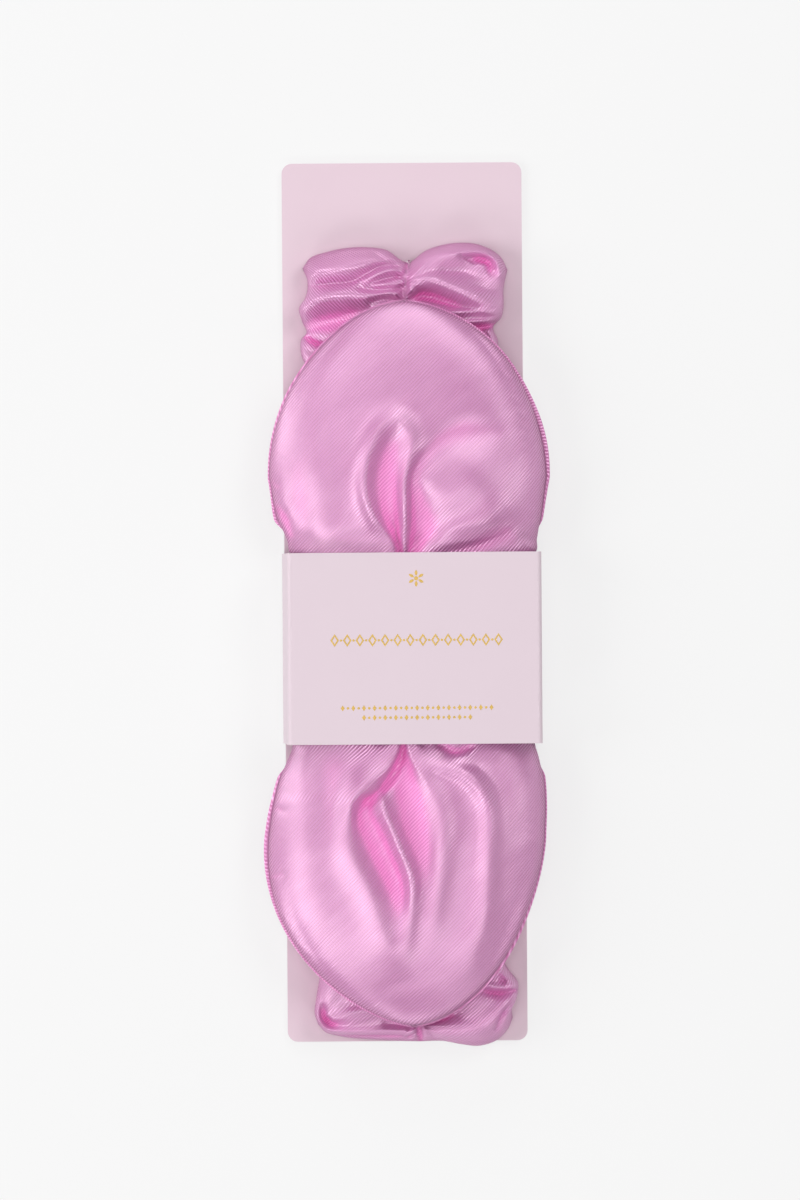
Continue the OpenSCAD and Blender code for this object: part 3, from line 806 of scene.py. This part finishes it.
top_outline = (
    [(-27, 82), (-29.4, 85), (-30.2, 88.4), (-30.0, 91), (-28.4, 93.2), (-29.6, 96.4), (-30.5, 100.4),
     (-28.6, 103.6), (-28.0, 108.3), (-29.4, 112.2)],
    [(26, 82), (27.6, 86), (28.2, 90.1), (26.8, 94.6), (29.2, 97.3), (29.8, 100), (29.9, 105.8),
     (31.1, 111.3)],
    [(-29.4, 112.2), (-27.2, 115.2), (-22.6, 116.9), (-10, 118.3), (-5, 117.6), (1.8, 113.8),
     (6.8, 117.1), (15.8, 119.4), (22.5, 118.9), (29.3, 114.9), (31.1, 111.3)],
    [(-27, 82), (26, 82)],
)
top_folds = [
    # the pinch
    ([(1.8, 115.2, -2.4, 1.1), (1.2, 109, -1.7, 0.8), (0.5, 103, -1.7, 0.9), (0.4, 97, -1, 2)], SOFT),
    # left roll and the crease under it
    ([(-27.5, 111, 2.2, 2.6), (-20, 111.6, 2.6, 3), (-11, 113.2, 2.4, 2.8), (-5, 114.4, 1.8, 2),
      (-0.5, 113.0, 0.8, 1.2)], SOFT),
    ([(-8.6, 117, -0.6, 0.8), (-5, 114.2, -1.0, 0.8), (-0.5, 113.2, -0.9, 0.7)], SHARP),
    ([(-27.5, 107, -1.2, 1.4), (-20.3, 107.4, -2.0, 1.3), (-14.9, 108.1, -1.8, 1.1),
      (-10.4, 110.4, -1.7, 0.9), (-5.9, 112.7, -1.4, 0.8), (-0.6, 112.4, -1.2, 0.7)], SHARP),
    # lens-shaped fold beside the pinch
    ([(-10.4, 108.2, 0.8, 1.0), (-7, 109.9, 1.8, 1.0), (-3.4, 111, 1.8, 0.9), (0.2, 111, 1.0, 0.8)], SOFT),
    ([(-8.6, 107.7, -0.5, 0.7), (-4.5, 108.9, -1.3, 0.7), (0, 109.4, -1.4, 0.7)], SHARP),
    ([(-8.0, 106.7, 0.8, 0.8), (-4, 107, 1.2, 0.8), (0, 107.6, 0.8, 0.8)], SOFT),
    ([(-12.2, 106, -1.0, 1.1), (-6.8, 105.2, -1.5, 0.9), (-0.6, 105.9, -1.4, 0.8)], SHARP),
    # ridge over the left puff
    ([(-30.3, 99.4, 2.2, 2.4), (-25.8, 102.0, 3.0, 2.9), (-21.2, 103.2, 3.0, 3.1),
      (-15.8, 103.2, 2.6, 2.8), (-9.1, 103.4, 2.2, 2.1), (-2.4, 104.4, 1.5, 1.5)], SOFT),
    ([(-26, 95.4, -1.8, 3.4), (-21, 96.6, -2.5, 3.8), (-14.5, 98.8, -2.2, 3.2)], SOFT),
    ([(-9, 102, -1.2, 1.0), (-5, 102.8, -2.0, 1.0), (-1.6, 102.2, -1.6, 1.0)], SOFT),
    # left ruffle
    ([(-29.5, 92.6, -1.0, 0.8), (-26.5, 90.3, -2.8, 0.8), (-23, 89.0, -2.4, 0.9)], SHARP),
    ([(-30, 89.6, 1.2, 1.2), (-26, 87.4, 1.4, 1.3), (-22, 86.6, 1.2, 1.4)], SOFT),
    # right roll
    ([(3.4, 110.6, 1.2, 1.5), (6.7, 113.6, 2.6, 2.6), (12.2, 115.0, 3.2, 3.0), (18, 116.2, 3.0, 2.3),
      (24, 116.2, 2.8, 1.3), (28, 113.4, 2.8, 1.3), (29, 110, 1.8, 1.3)], SOFT),
    # pocket inside the roll
    ([(17.5, 115.0, -0.9, 1.0), (21.5, 114.7, -2.8, 1.2), (25.6, 113.2, -2.8, 1.3),
      (26.6, 110.4, -1.2, 1.4)], SOFT),
    ([(17.6, 115.4, -0.7, 0.5), (21.4, 113.1, -0.7, 0.5)], dict(power=1.4)),
    ([(13, 111.9, -0.8, 2.2), (19, 111.4, -1.2, 2.4), (24, 109.6, -0.8, 2.4)], SOFT),
    # ridge across the right puff, and the pink valley under it
    ([(1.8, 103.4, 1.4, 1.4), (3.6, 106.8, 2.6, 2.0), (6.4, 108.2, 3.2, 2.5), (9.6, 107.8, 3.1, 2.8),
      (14, 106.0, 2.8, 2.8), (20.3, 103.2, 2.7, 2.6), (26.2, 100.6, 2.4, 2.3), (29.4, 99.6, 1.6, 1.7)],
     SOFT),
    ([(2.8, 102.8, -2.4, 1.2), (7, 103.6, -3.6, 1.7), (12, 102.4, -3.2, 1.8), (18, 100.2, -2.0, 1.5),
      (22, 99.2, -0.9, 1)], SOFT),
    # lower right fold, its bright lip and the deep crease
    ([(13, 98.4, 1.2, 1.1), (20.3, 99.0, 1.6, 1.1), (26.2, 98.2, 1.6, 1.0), (29.2, 98.2, 1.0, 0.9)], SOFT),
    ([(19, 95.6, 1.2, 0.7), (24.8, 96.2, 1.6, 0.7), (28.8, 96.9, 1.2, 0.7)], SOFT),
    ([(20, 93.9, -3.0, 0.9), (24, 94.3, -3.4, 0.8), (28, 95.2, -2.2, 0.7)], SHARP),
    ([(25.2, 93.0, 1.2, 0.8), (26.6, 90, 1.4, 0.9), (26.6, 86, 1.0, 1)], SOFT),
]
top_bumps = [
    ((1.3, 109.6), (0.9, 1.2), 1.5, 0),
    ((-14, 106), (14, 9), 1.0, 0),
    ((17, 108), (13, 9), 1.2, -20),
]
band_top = band_end(
    "band_top_turned_end", top_outline, 11.4, top_folds, top_bumps, (0.9, 108), False, turned=-1
)

bottom_outline = (
    [(-25, -82), (-25.4, -92), (-25.9, -97), (-26.9, -103), (-27.4, -108), (-26.4, -111)],
    [(27, -82), (27.4, -90), (29.8, -95), (32.7, -99.2), (32.2, -103.7), (30.8, -107), (31.0, -109.5)],
    [(-26.4, -111), (-24.5, -113.1), (-19.8, -114.6), (-10.4, -115.6), (2.8, -116.2), (10.8, -116.2),
     (15.5, -117.1), (21.5, -117.6), (27.2, -115.4), (29.8, -112.4), (31.0, -109.5)],
    [(-25, -82), (27, -82)],
)
bottom_folds = [
    # the pinch and its small pleats
    ([(3.5, -108, -1.2, 1.6), (3.5, -112, -1.8, 0.8), (3.6, -116.6, -2.6, 0.8)], SOFT),
    ([(-0.5, -114.2, 0.9, 0.6), (1.4, -112.6, 1.4, 0.6), (2.6, -111, 1.0, 0.6)], SOFT),
    ([(6.4, -114.4, 0.9, 0.6), (5.0, -112.8, 1.4, 0.6), (4.3, -111, 1.0, 0.6)], SOFT),
    # rolled lip along the left edge and the pocket behind it
    ([(-26.4, -103.5, 1.6, 0.9), (-26.4, -109, 2.2, 0.9), (-24.4, -112, 2.2, 0.9), (-18, -112.9, 1.6, 1.2),
      (-9, -112.9, 1.4, 1.3), (-1, -112.6, 1.2, 1.1)], SOFT),
    ([(-25.0, -105.5, -1.2, 0.9), (-24.6, -108.9, -3.0, 1.0), (-22.4, -110.6, -2.6, 1.1),
      (-19.6, -110.9, -0.9, 1.2)], SOFT),
    ([(-21.5, -109.2, 1.0, 1.4), (-17.5, -107.8, 1.3, 1.8), (-12, -106.4, 0.9, 2.2)], SOFT),
    ([(-23.5, -103, 1.0, 2.4), (-22, -98, 1.2, 3), (-20, -93, 0.8, 3)], SOFT),
    # the second layer's edge
    ([(-22, -113.8, -1.0, 0.6), (-15, -114.2, -1.7, 0.7), (-7.5, -114.3, -1.7, 0.7),
      (1, -114.6, -1.0, 0.7)], SHARP),
    ([(-6, -110.6, -0.9, 1.3), (-1, -110.8, -1.6, 1.2), (2, -110.2, -1.4, 1.2)], SOFT),
    # the big right puff
    ([(5.6, -112.2, 1.0, 1.6), (10, -113.0, 2.0, 2.4), (15.5, -113.2, 2.6, 3.2), (22, -111.8, 2.8, 3.8),
      (27.6, -107.4, 2.6, 3.6), (30.2, -103.4, 1.6, 2.2)], SOFT),
    ([(6.4, -110.0, -2.2, 1.1), (11, -109.0, -2.8, 1.3), (14, -108, -1.6, 1.6)], SOFT),
    # crease across the right side, and the roll above it
    ([(21.5, -101, -1.2, 0.9), (27, -102.0, -2.4, 0.9), (31.6, -101.2, -2.0, 0.8)], SHARP),
    ([(25.0, -94.5, 1.0, 1.6), (28.8, -96.6, 1.8, 1.6), (31.0, -99.4, 1.8, 1.2)], SOFT),
    ([(27.0, -96.6, -0.8, 0.8), (28.4, -98.2, -1.8, 0.8)], SOFT),
    ([(22.5, -99.2, 1.2, 1.1), (27, -100.0, 1.2, 1.0), (30, -100.2, 0.8, 0.8)], SOFT),
    # small lobe at the lower right
    ([(29.8, -105.4, -1.0, 0.7), (27.6, -108.6, -1.6, 0.7), (26.0, -112.0, -1.3, 0.8)], SHARP),
    ([(29.6, -108.6, 1.2, 1.0), (28.4, -112.2, 1.2, 1.1)], SOFT),
]
bottom_bumps = [
    ((-13, -104), (12, 9), 0.8, 0),
    ((18, -108), (12, 8), 0.8, 0),
]
band_bottom = band_end(
    "band_bottom_turned_end", bottom_outline, 11.2, bottom_folds, bottom_bumps, (3.5, -111.5), True
)
for piece, node in ((band_top, "band_top_turn"), (band_bottom, "band_bottom_turn")):
    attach(piece, "pack")
    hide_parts(node)


# ---------------------------------------------------------------- the band's run, casing and knot


def ring(angle, squareness=3.4):
    """A soft-cornered unit square's x and z at each angle."""
    c, s = np.cos(angle), np.sin(angle)
    power = 2 / squareness
    return np.sign(c) * np.abs(c) ** power, np.sign(s) * np.abs(s) ** power


def soft_tube(name, stations, dent, rows, columns):
    """A soft bar along Y, pressed in by dent(y, angle).

    Each station is (y, centre x, half-width, low z, high z). dent gives how far the cloth sinks and
    how far its sides draw in, both in millimetres.
    """
    keys = np.array(stations, float)
    y = np.linspace(keys[0, 0], keys[-1, 0], rows)[:, None]
    angle = np.linspace(0, 2 * math.pi, columns, endpoint=False)[None, :]
    centre, half, low, high = (through(keys[:, [0, k]], y.ravel())[:, None] for k in (1, 2, 3, 4))
    across, up = ring(angle)
    sink, draw = dent(y, angle)
    x = centre + (half - draw) * across
    z = (low + high) / 2 + np.maximum((high - low) / 2 - sink, 0.4) * up
    points = np.stack([x, y + 0 * x, z], axis=-1).reshape(-1, 3)
    faces = []
    for i in range(rows - 1):
        for j in range(columns):
            a, b = i * columns + j, i * columns + (j + 1) % columns
            faces.append((a, a + columns, b + columns, b))
    faces.append(tuple(range(columns)))
    faces.append(tuple(reversed(range((rows - 1) * columns, rows * columns))))
    arc = half * angle * 0.9
    uv = np.stack([arc + 0 * x, y * 1.3 + 0 * x], axis=-1).reshape(-1, 2)
    return mesh_object(name, points, faces, uv, [SATIN])


def pleats(y, angle, pitch, seed):
    """Sharp-crested shirring across a tube, from 0 on a crest to 1 in a fold."""
    wave = ripple(y * np.ones_like(angle), 5 * np.cos(angle) + 0 * y, 0, pitch, seed)
    return np.abs(np.clip(wave * 1.6, -1, 1)) ** 0.8


def run_dent(y, angle):
    fine = pleats(y, angle, 9, 21)
    gathered = ease((46 - np.abs(y)) / 18) * (0.5 + 0.5 * np.cos(angle * 17 + 0.6 * np.sin(y / 6)))
    return 0.35 * fine + 0.5 * gathered, 0.9 * pleats(y, angle * 0, 11, 22)


CASING_PITCH = 5.2


def casing_dent(y, angle):
    return 0.95 * pleats(y, angle, CASING_PITCH, 23), 1.6 * pleats(y, angle * 0, CASING_PITCH, 23)


run_low, run_high = node_box("band_front_run")
casing_low, casing_high = node_box("elastic_casing")
BAND_HW = run_high[0]
GATHERED_HW = 11.8
RUN_LIFT = 1.5

front_run = soft_tube(
    "band_front_panel",
    [
        (run_low[1], 0, BAND_HW - 0.6, run_low[2], run_high[2]),
        (-46, 0, BAND_HW, run_low[2], run_high[2]),
        (-26, 0, GATHERED_HW + 6, run_low[2] + 0.7 * RUN_LIFT, run_high[2]),
        (-18, 0, GATHERED_HW, run_low[2] + RUN_LIFT, run_high[2]),
        (18, 0, GATHERED_HW, run_low[2] + RUN_LIFT, run_high[2]),
        (26, 0, GATHERED_HW + 6, run_low[2] + 0.7 * RUN_LIFT, run_high[2]),
        (46, 0, BAND_HW, run_low[2], run_high[2]),
        (run_high[1], 0, BAND_HW - 0.6, run_low[2], run_high[2]),
    ],
    run_dent,
    rows=230,
    columns=132,
)
casing = soft_tube(
    "shirred_elastic_casing",
    [
        (casing_low[1], 0, casing_high[0], casing_low[2], casing_high[2]),
        (0, 0, casing_high[0], casing_low[2], casing_high[2]),
        (casing_high[1], 0, casing_high[0], casing_low[2], casing_high[2]),
    ],
    casing_dent,
    rows=380,
    columns=116,
)


KNOT_ROWS = 96
KNOT_COLUMNS = 180
KNOT_THICKNESS = 1.2
KNOT_FOLDS = 2.6
KNOT_FOLD_DEPTH = 0.75
KNOT_EDGE_DEPTH = 0.5
KNOT_ROUND = 18


def knot():
    """The knot's wrap: one strip of satin round the waist, in folds that run round with it."""
    low, high = node_box("knot_wrap")
    half_length = high[1]
    rows, columns = KNOT_ROWS, KNOT_COLUMNS
    v = np.linspace(-1, 1, rows)[:, None]
    angle = np.linspace(0, 2 * math.pi, columns, endpoint=False)[None, :]
    y = half_length * v + 0 * angle
    across, up = ring(angle)
    wander = 0.10 * np.sin(angle * 2 + 0.6) + 0.05 * np.sin(angle * 5)
    folds = np.abs(np.sin((v * KNOT_FOLDS + wander) * math.pi)) ** 0.7
    depth = KNOT_FOLD_DEPTH * (1 - folds) + KNOT_EDGE_DEPTH * np.abs(v) ** 6
    half, middle, tall = high[0], (low[2] + high[2]) / 2, (high[2] - low[2]) / 2
    outer = np.stack([(half - depth) * across, y, middle + (tall - depth) * up], axis=-1)
    inset = np.minimum(KNOT_THICKNESS, depth + 0.5)
    inner_y = y * (1 - 0.012)
    inner = np.stack(
        [(half - inset - 0.05) * across, inner_y, middle + (tall - inset - 0.05) * up], axis=-1
    )
    points = np.concatenate([outer.reshape(-1, 3), inner.reshape(-1, 3)])
    inside = rows * columns
    faces = []
    for j in range(columns):
        k = (j + 1) % columns
        for i in range(rows - 1):
            a, b = i * columns + j, i * columns + k
            faces.append((a, a + columns, b + columns, b))
            faces.append((inside + a, inside + b, inside + b + columns, inside + a + columns))
        far = (rows - 1) * columns
        faces.append((j, k, inside + k, inside + j))
        faces.append((far + j, inside + far + j, inside + far + k, far + k))
    arc = KNOT_ROUND * angle + 0 * y
    uv = np.stack([arc, y], axis=-1).reshape(-1, 2)
    return mesh_object("knot_wrap_folds", points, faces, np.concatenate([uv, uv]), [SATIN])


for piece, node in ((front_run, "band_front_run"), (casing, "elastic_casing"), (knot(), "knot_wrap")):
    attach(piece, "pack")
    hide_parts(node)


# ---------------------------------------------------------------- hand stitches at the lobes' tips

SEAM_SAMPLES = 1200
STITCH_SPACING = 1.15
STITCH_LENGTH = 0.95
STITCH_THICK = 0.32
STITCH_INSET = 0.7
STITCH_RINGS = 7
STITCH_SIDES = 8


def stitch_row(name, lobe, body, spans):
    """Small stitches along the lobe's seam. spans are x ranges on its tip side."""
    t = np.linspace(0, 1, SEAM_SAMPLES)
    reach = lobe.belly + (lobe.tip - lobe.belly) * np.sin(t * math.pi / 2)
    right = np.column_stack([lobe.middle(reach) + lobe.half_width(reach), reach])
    left = np.column_stack([lobe.middle(reach) - lobe.half_width(reach), reach])
    outline = np.concatenate([left, right[::-1]])
    steps = np.linalg.norm(np.diff(outline, axis=0), axis=1)
    length = np.concatenate([[0], np.cumsum(steps)])
    vertices, faces = [], []
    for place in np.arange(0, length[-1], STITCH_SPACING):
        x = np.interp(place, length, outline[:, 0])
        r = np.interp(place, length, outline[:, 1])
        if not any(low < x < high for low, high in spans):
            continue
        further = [np.interp(place + 0.4, length, column) for column in outline.T]
        ahead = np.array([further[0] - x, further[1] - r])
        ahead /= np.linalg.norm(ahead) + 1e-9
        inward = np.array([ahead[1], -ahead[0]])
        centre = np.array([x, r]) + inward * STITCH_INSET
        z = lobe.front(centre[:1], centre[1:] * lobe.way)[0] + 0.05
        start = len(vertices)
        for i in range(STITCH_RINGS):
            a = math.pi * i / (STITCH_RINGS - 1)
            for j in range(STITCH_SIDES):
                b = 2 * math.pi * j / STITCH_SIDES
                along_it = -math.cos(a) * STITCH_LENGTH / 2
                round_it = math.sin(a) * STITCH_THICK / 2
                xy = centre + ahead * along_it + inward * round_it * math.cos(b)
                vertices.append((xy[0], xy[1] * lobe.way, z + round_it * math.sin(b)))
        for i in range(STITCH_RINGS - 1):
            first = start + i * STITCH_SIDES
            for j in range(STITCH_SIDES):
                a, b = first + j, first + (j + 1) % STITCH_SIDES
                quad = (a, b, b + STITCH_SIDES, a + STITCH_SIDES)
                faces.append(quad if lobe.way > 0 else quad[::-1])
    piece = mesh_object(name, vertices, faces, None, [THREAD_LIGHT])
    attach(piece, body)


stitch_row("upper_tip_stitches", upper, "upper_lobe", [(-14.5, -6), (7, 13)])
stitch_row("lower_tip_stitches", lower, "lower_lobe", [(7, 19)])


# ---------------------------------------------------------------- stage, lights and camera

FIELD_HEIGHT = 355.8 * MM
CAMERA_HEIGHT = 1.5
CAMERA_ROLL = -0.42
VIEW_CENTRE = (-1.35 * MM, 14.1 * MM)
SENSOR = 36.0


def area_light(name, place, size, power):
    """A soft rectangular light that aims at the middle of the pack."""
    data = bpy.data.lights.new(name, "AREA")
    data.shape = "RECTANGLE"
    data.size, data.size_y = size
    data.energy = power
    light = bpy.data.objects.new(name, data)
    light.location = place
    light.rotation_euler = (-Vector(place)).to_track_quat("-Z", "Y").to_euler()
    bpy.context.collection.objects.link(light)


area_light("header_right_softbox", (0.7, 0.65, 1.1), (0.6, 0.6), 5.8)
area_light("header_softbox", (-0.3, 1.1, 0.55), (0.8, 0.4), 3.4)
area_light("left_softbox", (-1.0, 0.05, 0.65), (0.5, 0.9), 6.9)
area_light("foot_left_softbox", (-0.6, -0.95, 0.8), (0.5, 0.4), 3.6)
area_light("foot_right_softbox", (0.5, -0.95, 0.85), (0.5, 0.4), 2.2)
area_light("overhead_fill", (0.0, 0.0, 1.9), (0.8, 0.8), 8.2)

world = bpy.data.worlds.new("studio")
world.use_nodes = True
background = world.node_tree.nodes["Background"]
background.inputs["Color"].default_value = (1, 0.99, 0.995, 1)
background.inputs["Strength"].default_value = 0.2
bpy.context.scene.world = world

FLOOR_HALF = 3.0
FLOOR_BELOW = 0.1 * MM
floor_mesh = bpy.data.meshes.new("floor")
floor_mesh.from_pydata(
    [(FLOOR_HALF * i, FLOOR_HALF * j, 0) for i, j in ((-1, -1), (1, -1), (1, 1), (-1, 1))],
    [],
    [(0, 1, 2, 3)],
)
floor = bpy.data.objects.new("floor", floor_mesh)
floor.location.z = -FLOOR_BELOW
bpy.context.collection.objects.link(floor)
floor_paint = Nodes("floor_paint")
floor_mesh.materials.append(
    floor_paint.set(
        Base_Color=(0.2, 0.2, 0.2),
        Roughness=0.9,
        Specular_IOR_Level=0.0,
        Emission_Color=(1.0, 1.0, 1.0),
        Emission_Strength=0.71,
    )
)

camera_data = bpy.data.cameras.new("camera")
camera_data.sensor_width = SENSOR
camera_data.lens = SENSOR * CAMERA_HEIGHT / FIELD_HEIGHT
camera_data.clip_end = 20
camera = bpy.data.objects.new("camera", camera_data)
camera.location = (*VIEW_CENTRE, CAMERA_HEIGHT)
camera.rotation_euler = (0, 0, math.radians(CAMERA_ROLL))
bpy.context.collection.objects.link(camera)
bpy.context.scene.camera = camera
bpy.context.scene.view_settings.view_transform = "Standard"
